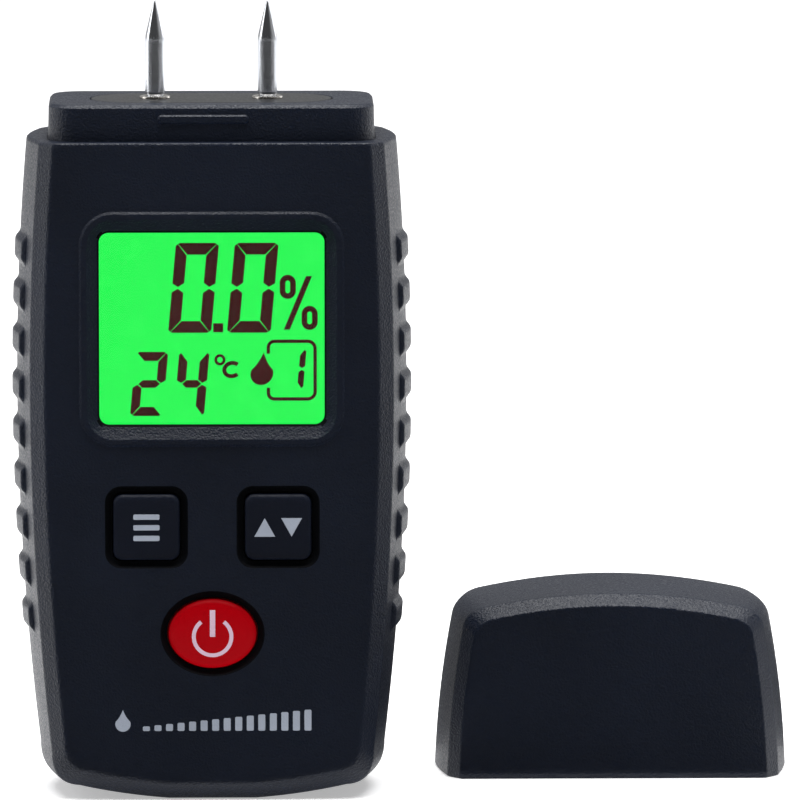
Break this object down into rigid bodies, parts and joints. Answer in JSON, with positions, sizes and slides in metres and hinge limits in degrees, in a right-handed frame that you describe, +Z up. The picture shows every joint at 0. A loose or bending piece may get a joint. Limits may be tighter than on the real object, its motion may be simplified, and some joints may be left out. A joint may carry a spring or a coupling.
{
  "type": "moisture meter",
  "caption": "Hand-held pin moisture meter with a lit display, push keys, ribbed grips, two steel pins and a pull-off protective cap standing beside it.",
  "frame": {"origin": "middle of the flat foot that the meter stands on, below its widest section", "axes": "+Z up along the pins, +Y from the display to the battery door, +X to the right of someone reading the display"},
  "size_m": [0.1173, 0.0462, 0.1187],
  "materials": {
    "casing": "fine spark-textured black moulding, semi-matt",
    "key": "satin black moulding",
    "power_key": "satin red moulding",
    "steel": "turned and polished steel",
    "nickel": "bright nickel plate",
    "window": "clear acrylic, gloss",
    "display": "backlit liquid crystal glass, lit green",
    "light_guide": "milky light guide",
    "white_plastic": "natural white moulding",
    "elastomer": "silicone rubber strip",
    "board": "green solder mask",
    "chip": "black moulding compound",
    "copper": "tinned copper alloy",
    "cell_wrap": "plain dark printed sleeve",
    "red_wire": "red insulation",
    "black_wire": "black insulation",
    "label": "blank printed label"
  },
  "bodies": {
    "housing": {"front_shell": "casing", "rear_shell": "casing", "head_block": "casing", "pin_holder": "key", "left_pin": "steel", "right_pin": "steel", "case_screw_1": "steel", "case_screw_2": "steel", "case_screw_3": "steel", "case_screw_4": "steel", "board_screw_1": "steel", "board_screw_2": "steel", "board_screw_3": "steel", "board_screw_4": "steel", "left_ferrule": "nickel", "right_ferrule": "nickel", "left_pin_nut": "nickel", "right_pin_nut": "nickel", "left_spring": "nickel", "right_spring": "nickel", "negative_contact": "nickel", "positive_contact": "nickel", "bridge_contact": "nickel", "left_pin_lug": "copper", "right_pin_lug": "copper", "left_pin_lead": "red_wire", "right_pin_lead": "red_wire", "positive_lead": "red_wire", "negative_lead": "black_wire", "display_window": "window", "display_glass": "display", "backlight": "light_guide", "display_connector": "elastomer", "display_frame": "white_plastic", "circuit_board": "board", "control_chip": "chip", "temperature_sensor": "chip", "mode_switch": "chip", "set_switch": "chip", "power_switch": "chip", "left_cell": "cell_wrap", "right_cell": "cell_wrap", "rating_label": "label"},
    "cap": {"cap": "casing"},
    "mode_button": {"mode_key": "key", "mode_plunger": "white_plastic"},
    "set_button": {"set_key": "key", "set_plunger": "white_plastic"},
    "power_button": {"power_key": "power_key", "power_plunger": "white_plastic"},
    "door": {"battery_door": "casing"}
  },
  "joints": [
    {"name": "cap_lift", "type": "slide", "parent": "housing", "child": "cap", "axis": [0, 0, 1], "range_m": [0, 0.11]},
    {"name": "mode_press", "type": "slide", "parent": "housing", "child": "mode_button", "axis": [0, 1, 0], "range_m": [0, 0.0006], "stiffness_N_per_m": 1500, "springref_m": -0.0003},
    {"name": "set_press", "type": "slide", "parent": "housing", "child": "set_button", "axis": [0, 1, 0], "range_m": [0, 0.0006], "stiffness_N_per_m": 1500, "springref_m": -0.0003},
    {"name": "power_press", "type": "slide", "parent": "housing", "child": "power_button", "axis": [0, 1, 0], "range_m": [0, 0.0006], "stiffness_N_per_m": 1500, "springref_m": -0.0003},
    {"name": "door_swing", "type": "hinge", "parent": "housing", "child": "door", "pos_m": [0, 0.0124, 0.0099], "axis": [-1, 0, 0], "range_deg": [0, 90]}
  ]
}
